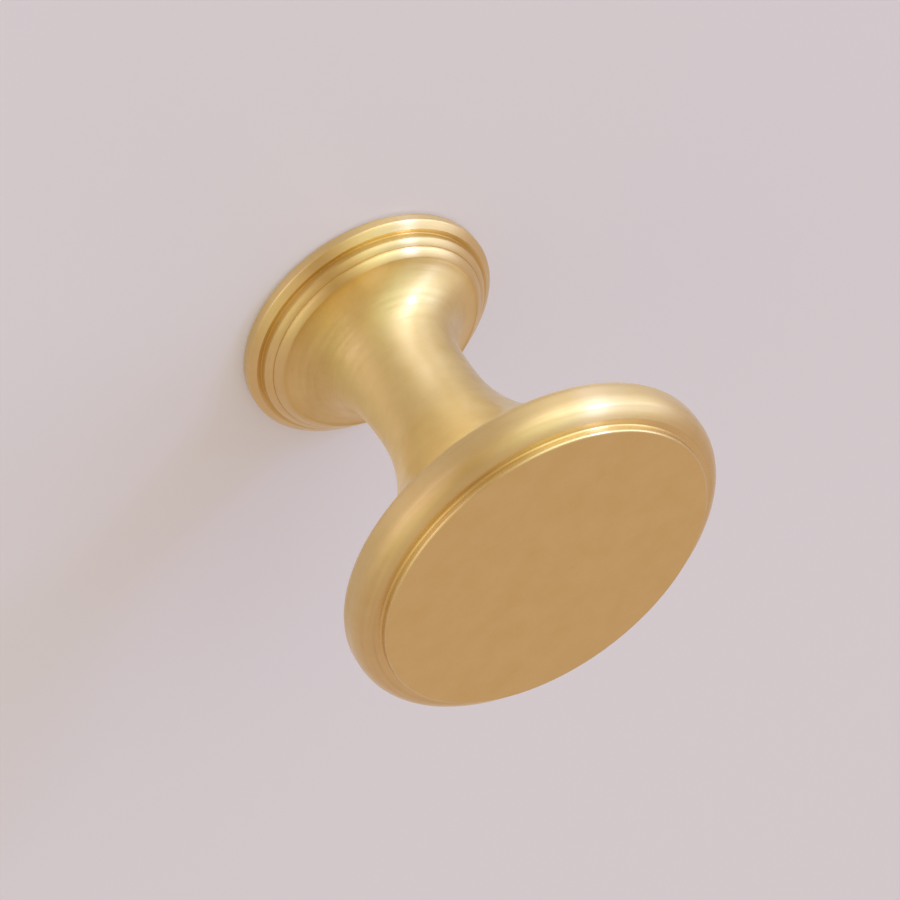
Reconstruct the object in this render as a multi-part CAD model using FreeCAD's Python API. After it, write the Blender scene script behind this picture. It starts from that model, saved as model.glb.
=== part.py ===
import FreeCAD, Part

import math
import os

# Cabinet knob turned from one solid brass bar. Millimetres, +Z from the back face to the flat face.

# Overall
knob_height = 33.0
base_radius = 12.2
head_radius = 17.53

# Base, from the back face up to the foot of the neck
edge_break = 0.15
flange_side_height = 0.45
flange_round_width = 0.56
flange_round_height = 0.83
cove_width = 0.55
cove_height = 0.67
lower_bead_width = 0.68
lower_bead_height = 0.37
upper_bead_width = 0.73
upper_bead_height = 0.67

# Neck: a waist with a short flare to the base and a long one to the head. The share of the long one that
# the head hides is cut as two cones
waist_radius = 5.13
waist_height = 12.0
foot_flare_angle = 15.7
foot_flare_reach = 4.73
foot_flare_rise = 3.8
head_flare_angle = 28.5
head_flare_reach = 5.6
head_flare_rise = 8.1
open_flare_share = 0.5
cone_meeting_share = 0.72

# Head, from its back edge up to the flat face
back_round_radius = 1.07
rim_side_height = 0.66
rim_round_width = 1.36
rim_round_height = 1.85
shoulder_width = 0.68
face_riser_height = 0.52
face_edge_break = 0.23

# Tapped hole for an M4 fixing screw: plain at the tapping drill's size
screw_hole_radius = 1.65
screw_hole_depth = 11.0
screw_hole_mouth = 0.45
drill_point_angle = 118.0


def at(radius, height):
    return FreeCAD.Vector(radius, 0, height)


def line(start, end):
    return Part.LineSegment(start, end).toShape()


def arc_points(centre, radius, start_angle, end_angle):
    # Start, middle and end of a circular arc, angles in degrees from the outward radius
    points = []
    for angle in (start_angle, (start_angle + end_angle) / 2, end_angle):
        turn = math.radians(angle)
        points.append(at(centre.x + radius * math.cos(turn), centre.z + radius * math.sin(turn)))
    return points


def round_from_side(start, width, height):
    # Convex arc that leaves a straight side upwards and ends that much further in and up
    radius = (width ** 2 + height ** 2) / (2 * width)
    turn = math.degrees(math.atan2(height, radius - width))
    return arc_points(at(start.x - radius, start.z), radius, 0, turn)


def cove_to_side(start, width, height):
    # Concave arc that runs inwards and ends upright
    radius = (width ** 2 + height ** 2) / (2 * width)
    turn = math.degrees(math.atan2(height, radius - width))
    return arc_points(at(start.x - width + radius, start.z + height), radius, 180 + turn, 180)


def full_round(points):
    return [Part.Arc(*points).toShape()]


def two_cuts(points):
    # A small round cut as two flats that meet in its middle
    start, middle, end = points
    return [line(start, middle), line(middle, end)]


def flare(points):
    curve = Part.BezierCurve()
    curve.setPoles(points)
    return curve


def outer_section():
    edges = []

    # Flange with its back edge broken, its rounded shoulder, the cove and the two beads
    back_centre = at(0, 0)
    back_edge = at(base_radius - edge_break, 0)
    flange_foot = at(base_radius, edge_break)
    flange_top = at(base_radius, edge_break + flange_side_height)
    cove_start = at(flange_top.x - flange_round_width, flange_top.z + flange_round_height)
    bead_start = at(cove_start.x - cove_width, cove_start.z + cove_height)
    groove = at(bead_start.x - lower_bead_width, bead_start.z + lower_bead_height)
    neck_foot = at(groove.x - upper_bead_width, groove.z + upper_bead_height)
    edges.append(line(back_centre, back_edge))
    edges.append(line(back_edge, flange_foot))
    edges.append(line(flange_foot, flange_top))
    edges += full_round(round_from_side(flange_top, flange_round_width, flange_round_height))
    edges += two_cuts(cove_to_side(cove_start, cove_width, cove_height))
    edges += two_cuts(round_from_side(bead_start, lower_bead_width, lower_bead_height))
    edges += two_cuts(round_from_side(groove, upper_bead_width, upper_bead_height))

    # Heights of the head, measured down from the flat face
    shoulder_height = knob_height - face_edge_break - face_riser_height
    rim_top = at(head_radius, shoulder_height - rim_round_height)
    rim_foot = at(head_radius, rim_top.z - rim_side_height)
    back_start_angle = head_flare_angle - 90
    turn = math.radians(back_start_angle)
    back_round_centre = at(head_radius - back_round_radius, rim_foot.z)
    neck_head = at(back_round_centre.x + back_round_radius * math.cos(turn),
                   back_round_centre.z + back_round_radius * math.sin(turn))

    # Neck: both flares stand upright at the waist, and the upper one runs on into the head's back edge
    waist = at(waist_radius, waist_height)
    foot_slope = math.radians(foot_flare_angle)
    head_slope = math.radians(head_flare_angle)
    lower_flare = flare([neck_foot,
                         at(neck_foot.x - foot_flare_reach * math.cos(foot_slope),
                            neck_foot.z + foot_flare_reach * math.sin(foot_slope)),
                         at(waist_radius, waist_height - foot_flare_rise),
                         waist])
    upper_flare = flare([waist,
                         at(waist_radius, waist_height + head_flare_rise),
                         at(neck_head.x - head_flare_reach * math.cos(head_slope),
                            neck_head.z - head_flare_reach * math.sin(head_slope)),
                         neck_head])
    under_head = upper_flare.value(open_flare_share)
    cone_meeting = upper_flare.value(cone_meeting_share)
    upper_flare.segment(0, open_flare_share)
    edges.append(lower_flare.toShape())
    edges.append(upper_flare.toShape())
    edges.append(line(under_head, cone_meeting))
    edges.append(line(cone_meeting, neck_head))

    # Head: back edge, upright rim, large round, flat shoulder and the raised flat face
    shoulder_outer = at(head_radius - rim_round_width, shoulder_height)
    riser_foot = at(shoulder_outer.x - shoulder_width, shoulder_height)
    riser_top = at(riser_foot.x, riser_foot.z + face_riser_height)
    face_edge = at(riser_top.x - face_edge_break, knob_height)
    face_centre = at(0, knob_height)
    edges += two_cuts(arc_points(back_round_centre, back_round_radius, back_start_angle, 0))
    edges.append(line(rim_foot, rim_top))
    edges += full_round(round_from_side(rim_top, rim_round_width, rim_round_height))
    edges.append(line(shoulder_outer, riser_foot))
    edges.append(line(riser_foot, riser_top))
    edges.append(line(riser_top, face_edge))
    edges.append(line(face_edge, face_centre))
    edges.append(line(face_centre, back_centre))
    return edges


def turned(edges):
    section = Part.Face(Part.Wire(edges))
    return section.revolve(FreeCAD.Vector(0, 0, 0), FreeCAD.Vector(0, 0, 1), 360)


def screw_hole():
    # Drilled hole with its countersunk mouth and its drill point
    mouth_radius = screw_hole_radius + screw_hole_mouth
    point_height = screw_hole_radius / math.tan(math.radians(drill_point_angle / 2))
    corners = [at(0, 0),
               at(mouth_radius, 0),
               at(screw_hole_radius, screw_hole_mouth),
               at(screw_hole_radius, screw_hole_depth),
               at(0, screw_hole_depth + point_height)]
    return turned([line(corners[i], corners[(i + 1) % len(corners)]) for i in range(len(corners))])


knob = turned(outer_section()).cut(screw_hole())

os.makedirs("parts", exist_ok=True)
knob.exportStep("parts/knob.step")
print("knob: valid", knob.isValid(), "solids", len(knob.Solids), "volume", round(knob.Volume, 1), "mm3")
print("box", round(knob.BoundBox.XLength, 2), round(knob.BoundBox.YLength, 2), round(knob.BoundBox.ZLength, 2))
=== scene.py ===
import math

import bpy
import numpy as np
from mathutils import Euler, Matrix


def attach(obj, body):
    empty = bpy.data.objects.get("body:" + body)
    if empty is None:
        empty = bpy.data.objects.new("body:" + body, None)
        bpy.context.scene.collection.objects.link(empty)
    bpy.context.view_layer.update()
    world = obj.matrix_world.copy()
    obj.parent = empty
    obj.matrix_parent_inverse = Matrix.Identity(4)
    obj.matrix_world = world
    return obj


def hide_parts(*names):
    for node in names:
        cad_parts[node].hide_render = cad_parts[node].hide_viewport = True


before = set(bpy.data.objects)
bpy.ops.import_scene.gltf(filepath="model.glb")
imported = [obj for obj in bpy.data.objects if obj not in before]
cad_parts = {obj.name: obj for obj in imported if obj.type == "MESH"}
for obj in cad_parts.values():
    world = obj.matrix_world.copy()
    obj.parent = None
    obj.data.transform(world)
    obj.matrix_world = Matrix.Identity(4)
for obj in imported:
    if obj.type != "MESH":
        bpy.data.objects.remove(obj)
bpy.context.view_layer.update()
print("frame loaded:", sorted(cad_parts))

mm = 0.001


def linearColour(hexCode):
    # sRGB hex to linear: x/12.92 below 0.04045, else ((x + 0.055) / 1.055) to the power 2.4
    channels = [int(hexCode[i:i + 2], 16) / 255 for i in (1, 3, 5)]
    return tuple(c / 12.92 if c <= 0.04045 else ((c + 0.055) / 1.055) ** 2.4 for c in channels) + (1.0,)


def addNode(tree, kind, settings=None, values=None, links=None):
    # settings are the node's own properties, values its unlinked sockets, links socket -> (node, output)
    node = tree.nodes.new(kind)
    for name, value in (settings or {}).items():
        setattr(node, name, value)
    for name, value in (values or {}).items():
        node.inputs[name].default_value = value
    for name, (source, output) in (links or {}).items():
        tree.links.new(source.outputs[output], node.inputs[name])
    return node


def newMaterial(name):
    material = bpy.data.materials.new(name)
    material.use_nodes = True
    material.node_tree.nodes.clear()
    return material, material.node_tree


def newObject(name, data):
    obj = bpy.data.objects.new(name, data)
    bpy.context.scene.collection.objects.link(obj)
    return obj


camera = {
    "lens": 132.19, "sensor": 36.0,                  # mm
    "place": (0.0, -231.86, 182.55),                 # mm from the centre of the knob's back face
    "turn": (-48.4739, -28.7471, 156.7504),          # degrees, rolled so that the knob points down right
    "clip": (0.01, 20.0),                            # metres
}


def makeCamera(s):
    data = bpy.data.cameras.new("camera")
    data.lens = s["lens"]
    data.sensor_width = s["sensor"]
    data.clip_start, data.clip_end = s["clip"]
    obj = newObject("camera", data)
    obj.location = [v * mm for v in s["place"]]
    obj.rotation_euler = Euler([math.radians(v) for v in s["turn"]], "XYZ")
    bpy.context.scene.camera = obj


makeCamera(camera)
print("camera placed")

# All lengths of the knob and its hole are in mm
knobShape = {
    "height": 33.0, "headRadius": 17.53,
    # the base from the middle of its back: radius and height where each stretch ends, how far it bows out
    # in its middle (in, if negative) and its steps
    "base": [
        (11.95, 0.0, 0, 4),                                       # flat back
        (12.03, 0.12, -0.02, 3), (12.17, 0.18, 0, 1), (12.2, 0.22, 0.01, 3),       # its broken edge
        (12.2, 0.86, 0, 2), (12.1, 1.07, 0.03, 5),                # side of the flange
        (11.57, 1.46, 0.01, 4), (11.50, 1.47, 0.015, 3),          # its slope and top edge
        (11.12, 1.42, 0, 2), (11.06, 1.48, -0.02, 3), (11.05, 2.0, 0, 2),          # square groove
        (11.0, 2.06, 0.015, 4), (10.46, 2.47, 0.035, 6),          # lower bead
        (10.42, 2.45, 0.01, 2), (10.41, 2.53, 0, 1),              # fine groove
        (10.36, 2.59, 0.012, 3), (9.72, 3.13, 0.05, 8),           # upper bead
        (9.66, 3.12, 0.01, 3),                                    # foot of the neck
    ],
    "waistRadius": 5.13, "waistHeight": 12.0,
    "footFlare": (15.7, 4.73, 3.8),                  # angle in degrees, reach and rise
    "headFlare": (28.5, 5.6, 8.1),
    "backRound": 1.07, "rimSide": 0.66,
    "rimRound": (1.36, 1.85),                        # width and height
    "shoulder": 0.48, "faceFillet": 0.2, "faceRiser": 0.32, "faceEdge": 0.23,
    "faceMiddle": 0.6,                               # radius of the fan that closes the flat face
    "steps": {"footFlare": 30, "headFlare": 48, "backRound": 14, "rimRound": 24, "smallRound": 8, "face": 10},
    "columns": 256,                                  # steps round the knob
    "sharpAngle": 16.0,                              # degrees; a steeper fold is shown as an edge
}

screwThread = {                                      # M4 x 0.7, tapped in the back
    "drillRadius": 1.65, "depth": 11.0, "mouth": 0.45, "pointAngle": 118.0,
    "pitch": 0.7, "threadDepth": 0.35, "fullThread": 9.0,
    "crest": 0.2, "flank": 0.62,                     # shares of half a pitch
    "rowsPerPitch": 8,
}


def straightRow(start, end, steps):
    # start plus t times (end - start)
    t = np.linspace(0, 1, steps + 1)[:, None]
    return np.array(start) + t * (np.array(end) - np.array(start))


def arcRow(centre, radius, startAngle, endAngle, steps):
    # centre plus radius times (cos, sin) of an angle that runs evenly, degrees from the outward radius
    angle = np.radians(np.linspace(startAngle, endAngle, steps + 1))
    return np.stack([centre[0] + radius * np.cos(angle), centre[1] + radius * np.sin(angle)], 1)


def flareRow(points, steps):
    # cubic Bezier: the four points weighted by (1-t)^3, 3t(1-t)^2, 3t^2(1-t) and t^3
    t = np.linspace(0, 1, steps + 1)[:, None]
    p = np.array(points)
    return (1 - t) ** 3 * p[0] + 3 * t * (1 - t) ** 2 * p[1] + 3 * t ** 2 * (1 - t) * p[2] + t ** 3 * p[3]


def roundRow(start, size, steps):
    # convex arc that leaves an upright side and ends size further in and up
    width, height = size
    radius = (width ** 2 + height ** 2) / (2 * width)
    turn = math.degrees(math.atan2(height, radius - width))
    return arcRow((start[0] - radius, start[1]), radius, 0, turn, steps)


def bowRow(start, end, bow, steps):
    # arc that leaves the straight line by bow in its middle, outwards if positive:
    # its radius is (half the line squared + bow squared) / (2 bow)
    start, end = np.array(start), np.array(end)
    if not bow:
        return straightRow(start, end, steps)
    half = np.hypot(*(end - start)) / 2
    along = (end - start) / (2 * half)
    out = np.array([along[1], -along[0]]) * math.copysign(1, bow)
    radius = (half ** 2 + bow ** 2) / (2 * abs(bow))
    angle = np.linspace(-1, 1, steps + 1)[:, None] * math.asin(half / radius)
    rise = radius * np.cos(angle) - radius + abs(bow)
    return (start + end) / 2 + along * radius * np.sin(angle) + out * rise


def baseRows(s, mouthRadius):
    # From the mouth of the hole out along the back, then up the mouldings to the foot of the neck
    rows = [np.array([(mouthRadius, 0.0)])]
    for radius, height, bow, steps in s["base"]:
        rows.append(bowRow(rows[-1][-1], (radius, height), bow, steps))
    return rows


def neckRows(s, neckFoot, neckHead):
    # Two flares that stand upright where they meet at the waist
    footAngle, footReach, footRise = s["footFlare"]
    headAngle, headReach, headRise = s["headFlare"]
    foot, head = math.radians(footAngle), math.radians(headAngle)
    waist = (s["waistRadius"], s["waistHeight"])
    lower = [neckFoot,
             (neckFoot[0] - footReach * math.cos(foot), neckFoot[1] + footReach * math.sin(foot)),
             (waist[0], waist[1] - footRise), waist]
    upper = [waist, (waist[0], waist[1] + headRise),
             (neckHead[0] - headReach * math.cos(head), neckHead[1] - headReach * math.sin(head)), neckHead]
    return [flareRow(lower, s["steps"]["footFlare"]), flareRow(upper, s["steps"]["headFlare"])]


def headRows(s):
    # From the back edge over the rim, along the shoulder, up the riser and in over the flat face
    steps = s["steps"]
    shoulderHeight = s["height"] - s["faceEdge"] - s["faceRiser"] - s["faceFillet"]
    rimTop = (s["headRadius"], shoulderHeight - s["rimRound"][1])
    rimFoot = (rimTop[0], rimTop[1] - s["rimSide"])
    backStart = s["headFlare"][0] - 90
    shoulder = (s["headRadius"] - s["rimRound"][0], shoulderHeight)
    inner = (shoulder[0] - s["shoulder"], shoulderHeight)
    riserFoot = (inner[0] - s["faceFillet"], shoulderHeight + s["faceFillet"])
    riserTop = (riserFoot[0], riserFoot[1] + s["faceRiser"])
    edgeRound = arcRow((riserTop[0] - s["faceEdge"], riserTop[1]), s["faceEdge"], 0, 90, steps["smallRound"])
    return [arcRow((s["headRadius"] - s["backRound"], rimFoot[1]), s["backRound"], backStart, 0,
                   steps["backRound"]),
            straightRow(rimFoot, rimTop, 2),
            roundRow(rimTop, s["rimRound"], steps["rimRound"]),
            straightRow(shoulder, inner, 2),
            arcRow((inner[0], riserFoot[1]), s["faceFillet"], 270, 180, steps["smallRound"]),
            straightRow(riserFoot, riserTop, 1),
            edgeRound,
            straightRow(edgeRound[-1], (s["faceMiddle"], s["height"]), steps["face"])]


def knobProfile(s, mouthRadius):
    # The section from the mouth of the hole, round the outside and in to the middle of the face
    base = baseRows(s, mouthRadius)
    head = headRows(s)
    rows = base + neckRows(s, base[-1][-1], head[0][0]) + head
    return np.concatenate([rows[0]] + [row[1:] for row in rows[1:]])


def threadRows(s, columns):
    # Tapped wall: radius = drill radius + thread depth x a flat-topped wave of (height / pitch - turn),
    # opened by the countersink at the mouth and fading out above the full thread
    rows = int(s["depth"] / s["pitch"] * s["rowsPerPitch"])
    height = np.linspace(s["depth"], 0, rows + 1)[:, None]
    turn = np.arange(columns)[None, :] / columns
    phase = np.abs(((height / s["pitch"] - turn) % 1.0) - 0.5) * 2
    wave = np.clip((phase - s["crest"]) / s["flank"], 0, 1)
    fade = np.clip((s["depth"] - height) / (s["depth"] - s["fullThread"]), 0, 1)
    wall = s["drillRadius"] + s["threadDepth"] * wave * fade
    sink = s["drillRadius"] + s["mouth"] - height
    radius = np.maximum(wall, sink)
    radius[-1] = s["drillRadius"] + s["mouth"]
    return radius, np.broadcast_to(height, radius.shape)


def turnedMesh(name, radius, height, bottomPole, topPole):
    # Rings of (radius cos a, radius sin a, height), each joined to the next, closed by a fan at both ends
    rows, columns = radius.shape
    angle = np.arange(columns) / columns * 2 * math.pi
    points = np.stack([radius * np.cos(angle), radius * np.sin(angle), height], 2).reshape(-1, 3)
    points = np.concatenate([points, [[0, 0, bottomPole], [0, 0, topPole]]]) * mm
    here = np.arange(columns)
    after = (here + 1) % columns
    ring = (np.arange(rows - 1) * columns)[:, None]
    corners = [ring + here, ring + after, ring + columns + after, ring + columns + here]
    quads = np.stack(corners, 2).reshape(-1, 4)
    low = np.stack([np.full(columns, rows * columns), after, here], 1)
    last = (rows - 1) * columns
    high = np.stack([np.full(columns, rows * columns + 1), last + here, last + after], 1)
    mesh = bpy.data.meshes.new(name)
    mesh.from_pydata(points.tolist(), [], quads.tolist() + low.tolist() + high.tolist())
    mesh.validate()
    return mesh


brass = {
    # the neck's colour is a brighter copy of the same brass: painted light on the neck
    "colour": "#eace8f", "neckPaintedLightColour": "#f3da96",
    "lacquer": 0.6, "lacquerRoughness": 0.16,        # thin clear coat on the turned sides
    "tarnishAndGrooveShade": "#dcb966",                            # colour of the painted shade in the grooves, and of faint tarnish clouds all over
    "cloudSize": 2.6, "cloudDepth": 0.3,             # mm, and the share of tarnish in a cloud
    # roughness up the knob: at the base, at both ends of the neck and on the rim, with their heights in mm
    "satin": (0.34, 0.48, 0.48, 0.42), "satinHeights": (2.9, 4.2, 26.0, 29.5),
    "stepSatin": 0.30, "stepZone": (31.0, 16.0),     # inside the rim: above this height, within this radius
    "faceSatin": 0.35, "unevenness": 0.08,           # how far the roughness strays either way
    "anisotropic": 0.9,
    "neckSlant": 28.0,                               # degrees that the neck's lines lean from level
    "neckZone": (2.2, 15.0, 28.4),                   # mm: least and greatest radius of the neck, and its top
    "faceDepth": 0.01,                               # mm below the flat face that still count as part of it
    "lineSpacing": 0.11,                             # mm between brush lines, coarser than real so they show
    "streakCircle": 3.0,                             # noise units: about 19 streaks lie round the knob
    "lineDepth": 0.0009, "scratchDepth": 0.006,      # mm
    "grainSize": 0.22,                               # mm, the blasted grain of the flat face
    # painted shade in the grooves between two heights: the radii where its share changes, all in mm
    "grooveShades": [
        {"heights": (0.5, 3.4), "radii": (9.5, 9.66, 9.74, 10.36, 10.42, 10.48, 11.0, 11.07, 11.4, 11.5),
         "shares": (0.1, 0.5, 0, 0, 0.5, 0, 0, 0.75, 0.75, 0)},                     # in the base
        {"heights": (31.0, 32.55), "radii": (15.2, 15.36, 15.52, 15.62),
         "shares": (0, 0.6, 0.6, 0)},                                               # round the raised face
    ],
}


def addTurning(mesh, radius, height, s):
    # turning: where a point lies in the brushing, (streak circle x cos a, the same x sin a, length along
    # the section / line spacing); satin: its roughness; grooveShade: its share of painted shade in the
    # grooves.
    # The last two values of each are the poles in the hole and on the face
    rows, columns = radius.shape
    angle = np.broadcast_to(np.arange(columns) / columns * 2 * math.pi, radius.shape)
    step = np.hypot(np.diff(radius[:, 0]), np.diff(height[:, 0]))
    along = np.concatenate([[0], np.cumsum(step)])[:, None] / s["lineSpacing"]
    along = np.broadcast_to(along, radius.shape)
    circle = s["streakCircle"]
    place = np.stack([circle * np.cos(angle), circle * np.sin(angle), along], 2).reshape(-1, 3)
    poles = [[0, 0, along[0, 0] - 1], [0, 0, along[-1, 0] + 1]]
    attribute = mesh.attributes.new("turning", "FLOAT_VECTOR", "POINT")
    attribute.data.foreach_set("vector", np.concatenate([place, poles]).astype(np.float32).ravel())

    stepHeight, stepRadius = s["stepZone"]
    rough = np.interp(height, s["satinHeights"], s["satin"])
    rough = np.where((height > stepHeight) & (radius < stepRadius), s["stepSatin"], rough)
    attribute = mesh.attributes.new("satin", "FLOAT", "POINT")
    attribute.data.foreach_set("value", np.append(rough, [s["satin"][0], s["stepSatin"]]).astype(np.float32))

    # painted shade: the grooves' share of the tarnish colour, darkest in the hollow corners
    hidden = np.zeros(radius.shape)
    for grooveShade in s["grooveShades"]:
        low, high = grooveShade["heights"]
        hidden += np.interp(radius, grooveShade["radii"], grooveShade["shares"]) * (height > low) * (height < high)
    attribute = mesh.attributes.new("grooveShade", "FLOAT", "POINT")
    attribute.data.foreach_set("value", np.append(hidden, [0, 0]).astype(np.float32))


def setFinishes(mesh, faceHeight, baseTop, s):
    # Material 1 on the flat face, 2 on the neck and 0 elsewhere, by where the middle of each polygon lies (mm)
    middle = np.empty(len(mesh.polygons) * 3, np.float32)
    mesh.polygons.foreach_get("center", middle)
    middle = middle.reshape(-1, 3) / mm
    out = np.hypot(middle[:, 0], middle[:, 1])
    least, greatest, top = s["neckZone"]
    onFace = middle[:, 2] > faceHeight - s["faceDepth"]
    onNeck = (middle[:, 2] > baseTop) & (middle[:, 2] < top) & (out < greatest) & (out > least)
    mesh.polygons.foreach_set("material_index", (onFace + 2 * onNeck).astype(np.int32))


def makeKnob(s, t, finish):
    # One closed turned surface: the threaded hole, then the outside, each ring a row of points
    profile = knobProfile(s, t["drillRadius"] + t["mouth"])
    holeRadius, holeHeight = threadRows(t, s["columns"])
    outer = np.repeat(profile[1:, :, None], s["columns"], axis=2)
    radius = np.concatenate([holeRadius, outer[:, 0]])
    height = np.concatenate([holeHeight, outer[:, 1]])
    drillPoint = t["depth"] + t["drillRadius"] / math.tan(math.radians(t["pointAngle"] / 2))
    mesh = turnedMesh("turnedKnob", radius, height, drillPoint, s["height"])
    addTurning(mesh, radius, height, finish)
    setFinishes(mesh, s["height"], s["base"][-1][1], finish)
    mesh.shade_smooth()
    mesh.set_sharp_from_angle(angle=math.radians(s["sharpAngle"]))
    print("knob mesh:", len(mesh.vertices), "points,", len(mesh.polygons), "faces")
    return newObject("turnedKnob", mesh)


def makeBrass(name, s, colour, onFace=False, slant=0.0):
    # Solid satin brass under thin lacquer, warm yellow with soft streaked highlights. The sides were brushed
    # while the knob spun in the lathe, so fine lines run round the axis and stretch each highlight along the
    # section. On the neck they slant, and its highlight leans with them. The flat face was blasted: it is
    # matt and looks the same every way
    material, tree = newMaterial(name)
    where = addNode(tree, "ShaderNodeTexCoord")
    if onFace:
        place = addNode(tree, "ShaderNodeVectorMath", {"operation": "SCALE"},
                        {"Scale": 1 / (s["grainSize"] * mm)}, {"Vector": (where, "Object")})
    else:
        place = addNode(tree, "ShaderNodeAttribute", {"attribute_name": "turning"})
    fine = addNode(tree, "ShaderNodeTexNoise", {}, {"Scale": 1.0, "Detail": 3.0, "Roughness": 0.6},
                   {"Vector": (place, "Vector")})
    coarse = addNode(tree, "ShaderNodeTexNoise", {}, {"Scale": 0.36, "Detail": 4.0, "Roughness": 0.7},
                     {"Vector": (place, "Vector")})
    scratched = addNode(tree, "ShaderNodeBump", {}, {"Strength": 1.0, "Distance": s["scratchDepth"] * mm},
                        {"Height": (coarse, "Fac")})
    lined = addNode(tree, "ShaderNodeBump", {}, {"Strength": 1.0, "Distance": s["lineDepth"] * mm},
                    {"Height": (fine, "Fac"), "Normal": (scratched, "Normal")})

    # painted shade darkens the grooves toward the tarnish colour; the clouds below are real tarnish
    grooveShade = addNode(tree, "ShaderNodeAttribute", {"attribute_name": "grooveShade"})
    cloud = addNode(tree, "ShaderNodeTexNoise", {},
                    {"Scale": 1 / (s["cloudSize"] * mm), "Detail": 4.0, "Roughness": 0.62},
                    {"Vector": (where, "Object")})
    stain = addNode(tree, "ShaderNodeMapRange", {},
                    {"From Min": 0.35, "From Max": 0.75, "To Min": 0.0, "To Max": s["cloudDepth"]},
                    {"Value": (cloud, "Fac")})
    share = addNode(tree, "ShaderNodeMath", {"operation": "ADD", "use_clamp": True}, {},
                    {0: (grooveShade, "Fac"), 1: (stain, "Result")})
    # sockets 6 and 7 of a colour mix are its two colours, output 2 is the mixed one
    tone = addNode(tree, "ShaderNodeMix", {"data_type": "RGBA"},
                   {6: linearColour(colour), 7: linearColour(s["tarnishAndGrooveShade"])}, {"Factor": (share, "Value")})

    stray = addNode(tree, "ShaderNodeMapRange", {},
                    {"From Min": 0.3, "From Max": 0.7, "To Min": -s["unevenness"], "To Max": s["unevenness"]},
                    {"Value": (coarse, "Fac")})
    roughness = addNode(tree, "ShaderNodeMath", {"operation": "ADD"}, {1: s["faceSatin"]},
                        {0: (stray, "Result")})
    shader = addNode(tree, "ShaderNodeBsdfPrincipled", {},
                     {"Metallic": 1.0, "Coat Weight": 0.0 if onFace else s["lacquer"],
                      "Coat Roughness": s["lacquerRoughness"]},
                     {"Base Color": (tone, 2), "Roughness": (roughness, "Value"),
                      "Normal": (lined, "Normal")})
    if not onFace:
        satin = addNode(tree, "ShaderNodeAttribute", {"attribute_name": "satin"})
        tree.links.new(satin.outputs["Fac"], roughness.inputs[1])
        tangent = addNode(tree, "ShaderNodeTangent", {"direction_type": "RADIAL", "axis": "Z"})
        tree.links.new(tangent.outputs["Tangent"], shader.inputs["Tangent"])
        shader.inputs["Anisotropic"].default_value = s["anisotropic"]
        # a quarter of a turn stretches the highlight across the lines that run round the axis
        shader.inputs["Anisotropic Rotation"].default_value = 0.25 + slant / 360
    addNode(tree, "ShaderNodeOutputMaterial", {}, {}, {"Surface": (shader, "BSDF")})
    return material


knob = makeKnob(knobShape, screwThread, brass)
knob.data.materials.append(makeBrass("turnedSatinBrass", brass, brass["colour"]))
knob.data.materials.append(makeBrass("blastedBrassFace", brass, brass["colour"], onFace=True))
# the neck gets the brighter copy of the brass colour: painted light
knob.data.materials.append(makeBrass("slantBrushedBrassNeck", brass, brass["neckPaintedLightColour"],
                                     slant=brass["neckSlant"]))
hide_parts("knob")
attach(knob, "root")
print("knob dressed")

floor = {
    "colour": "#e3e0de", "roughness": 0.3,
    "seen": "#d1c6ca", "seenShare": 0.35,            # plain colour that lightens what is seen of the floor
    "radius": 1600.0, "hole": 11.6, "gap": 0.03,     # mm; the gap keeps it off the knob's back
    "columns": 96,
}


def makeFloor(s):
    # Flat pale ring under the knob, open below the base and see-through from below, so that the knob's back
    # can be looked at: (radius cos a, radius sin a, -gap)
    angle = np.arange(s["columns"]) / s["columns"] * 2 * math.pi
    radius = np.array([s["radius"], s["hole"]])[:, None]
    height = np.full((2, s["columns"]), -s["gap"])
    points = np.stack([radius * np.cos(angle), radius * np.sin(angle), height], 2).reshape(-1, 3) * mm
    outer = np.arange(s["columns"])
    after = (outer + 1) % s["columns"]
    quads = np.stack([outer, after, after + s["columns"], outer + s["columns"]], 1)
    mesh = bpy.data.meshes.new("floor")
    mesh.from_pydata(points.tolist(), [], quads.tolist())
    mesh.materials.append(makePaint(s))
    return newObject("floor", mesh)


def makePaint(s):
    # Satin paint, sprayed on a flat board: an even pale colour with a weak soft sheen
    material, tree = newMaterial("paleSatinPaint")
    paint = addNode(tree, "ShaderNodeBsdfPrincipled", {},
                    {"Base Color": linearColour(s["colour"]), "Roughness": s["roughness"]})
    plain = addNode(tree, "ShaderNodeEmission", {}, {"Color": linearColour(s["seen"]), "Strength": 1.0})
    # camera and brass see a share of the plain colour, so that the knob's shadow stays faint
    path = addNode(tree, "ShaderNodeLightPath")
    looks = addNode(tree, "ShaderNodeMath", {"operation": "MAXIMUM"}, {},
                    {0: (path, "Is Camera Ray"), 1: (path, "Is Glossy Ray")})
    share = addNode(tree, "ShaderNodeMath", {"operation": "MULTIPLY"}, {1: s["seenShare"]},
                    {0: (looks, "Value")})
    front = addNode(tree, "ShaderNodeMixShader", {}, {},
                    {"Fac": (share, "Value"), 1: (paint, "BSDF"), 2: (plain, "Emission")})
    side = addNode(tree, "ShaderNodeNewGeometry")
    clear = addNode(tree, "ShaderNodeBsdfTransparent")
    oneSided = addNode(tree, "ShaderNodeMixShader", {}, {},
                       {"Fac": (side, "Backfacing"), 1: (front, "Shader"), 2: (clear, "BSDF")})
    addNode(tree, "ShaderNodeOutputMaterial", {}, {}, {"Surface": (oneSided, "Shader")})
    return material


makeFloor(floor)

lamp = {
    "turn": -167.0, "rise": 24.0,                    # degrees, its direction seen from the knob
    "away": 1.5, "size": 0.25,                       # metres
    "aim": 16.0,                                     # mm, height on the knob's axis that it points at
    "power": 6.0, "colour": "#95a5ff",               # watts
}


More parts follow.
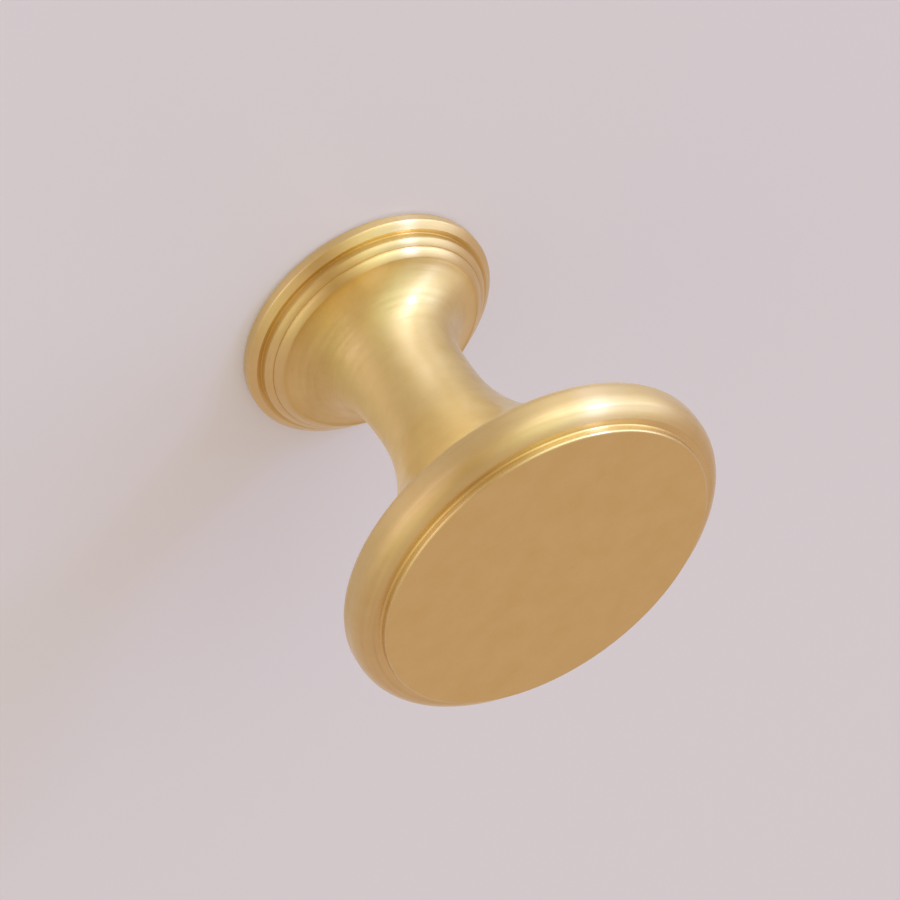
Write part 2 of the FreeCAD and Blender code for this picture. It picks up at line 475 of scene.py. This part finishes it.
def makeLamp(s):
    # Square soft lamp at (away cos rise cos turn, away cos rise sin turn, away sin rise) from its aim
    turn, rise = math.radians(s["turn"]), math.radians(s["rise"])
    data = bpy.data.lights.new("window", "AREA")
    data.size = s["size"]
    data.energy = s["power"]
    data.color = linearColour(s["colour"])[:3]
    obj = newObject("window", data)
    obj.location = (s["away"] * math.cos(rise) * math.cos(turn), s["away"] * math.cos(rise) * math.sin(turn),
                    s["away"] * math.sin(rise) + s["aim"] * mm)
    obj.rotation_euler = Euler((math.pi / 2 - rise, 0, turn + math.pi / 2), "XYZ")


makeLamp(lamp)

room = {
    "seen": "#e0d6db",                               # what the camera sees behind the floor
    "walls": ("#ffe5db", 0.62),                      # warm pale walls all round: colour and strength
    # soft round patches on them: turn and rise of the middle, spread in degrees, colour and strength
    "patches": {
        "windowMiddle": (-165, 20, 13, "#f7fffb", 1.75),
        "windowRight": (-145, 12, 14, "#e7e8ff", 2.7),
        "windowEdge": (-128, 8, 12, "#d2d9ff", 0.98),
        "windowLeft": (168, 18, 18, "#c0d5ff", 3.1),
        "windowTop": (-165, 45, 20, "#60c0ff", 0.8),
        "wallOverWindow": (-135, 40, 18, "#e4ffd0", 1.15),
        "wallBehindCamera": (-52, 4, 24, "#f7e5ff", 1.1),
        "ceilingBehindCamera": (-35, 42, 26, "#c8ffa0", 0.3),
        "darkCorner": (-84, 51, 9, "#fff0d0", -0.52),        # a strength below nothing takes light away
        "warmCorner": (-90, 34, 13, "#0048ff", -0.4),
    },
}


def makeRoom(s):
    # The light on the knob: even walls plus the patches, each strength times e to the power of
    # (cosine of the angle to its middle - 1) / (1 - cosine of its spread)
    world = bpy.data.worlds.new("room")
    bpy.context.scene.world = world
    world.use_nodes = True
    tree = world.node_tree
    tree.nodes.clear()
    where = addNode(tree, "ShaderNodeTexCoord")
    colour, strength = s["walls"]
    total = addNode(tree, "ShaderNodeVectorMath", {"operation": "ADD"},
                    {0: [c * strength for c in linearColour(colour)[:3]]})
    for turn, rise, spread, colour, strength in s["patches"].values():
        turn, rise = math.radians(turn), math.radians(rise)
        middle = (math.cos(rise) * math.cos(turn), math.cos(rise) * math.sin(turn), math.sin(rise))
        sharp = 1 / (1 - math.cos(math.radians(spread)))
        near = addNode(tree, "ShaderNodeVectorMath", {"operation": "DOT_PRODUCT"}, {1: middle},
                       {0: (where, "Generated")})
        power = addNode(tree, "ShaderNodeMath", {"operation": "MULTIPLY_ADD"}, {1: sharp, 2: -sharp},
                        {0: (near, "Value")})
        glow = addNode(tree, "ShaderNodeMath", {"operation": "EXPONENT"}, {}, {0: (power, "Value")})
        total = addNode(tree, "ShaderNodeVectorMath", {"operation": "MULTIPLY_ADD"},
                        {1: [c * strength for c in linearColour(colour)[:3]]},
                        {0: (glow, "Value"), 2: (total, "Vector")})
    light = addNode(tree, "ShaderNodeBackground", {}, {"Strength": 1.0}, {"Color": (total, "Vector")})
    seen = addNode(tree, "ShaderNodeBackground", {}, {"Color": linearColour(s["seen"]), "Strength": 1.0})
    path = addNode(tree, "ShaderNodeLightPath")
    both = addNode(tree, "ShaderNodeMixShader", {}, {},
                   {"Fac": (path, "Is Camera Ray"), 1: (light, "Background"), 2: (seen, "Background")})
    addNode(tree, "ShaderNodeOutputWorld", {}, {}, {"Surface": (both, "Shader")})


makeRoom(room)
bpy.context.scene.view_settings.view_transform = "Standard"
print("floor, lamp and room placed")
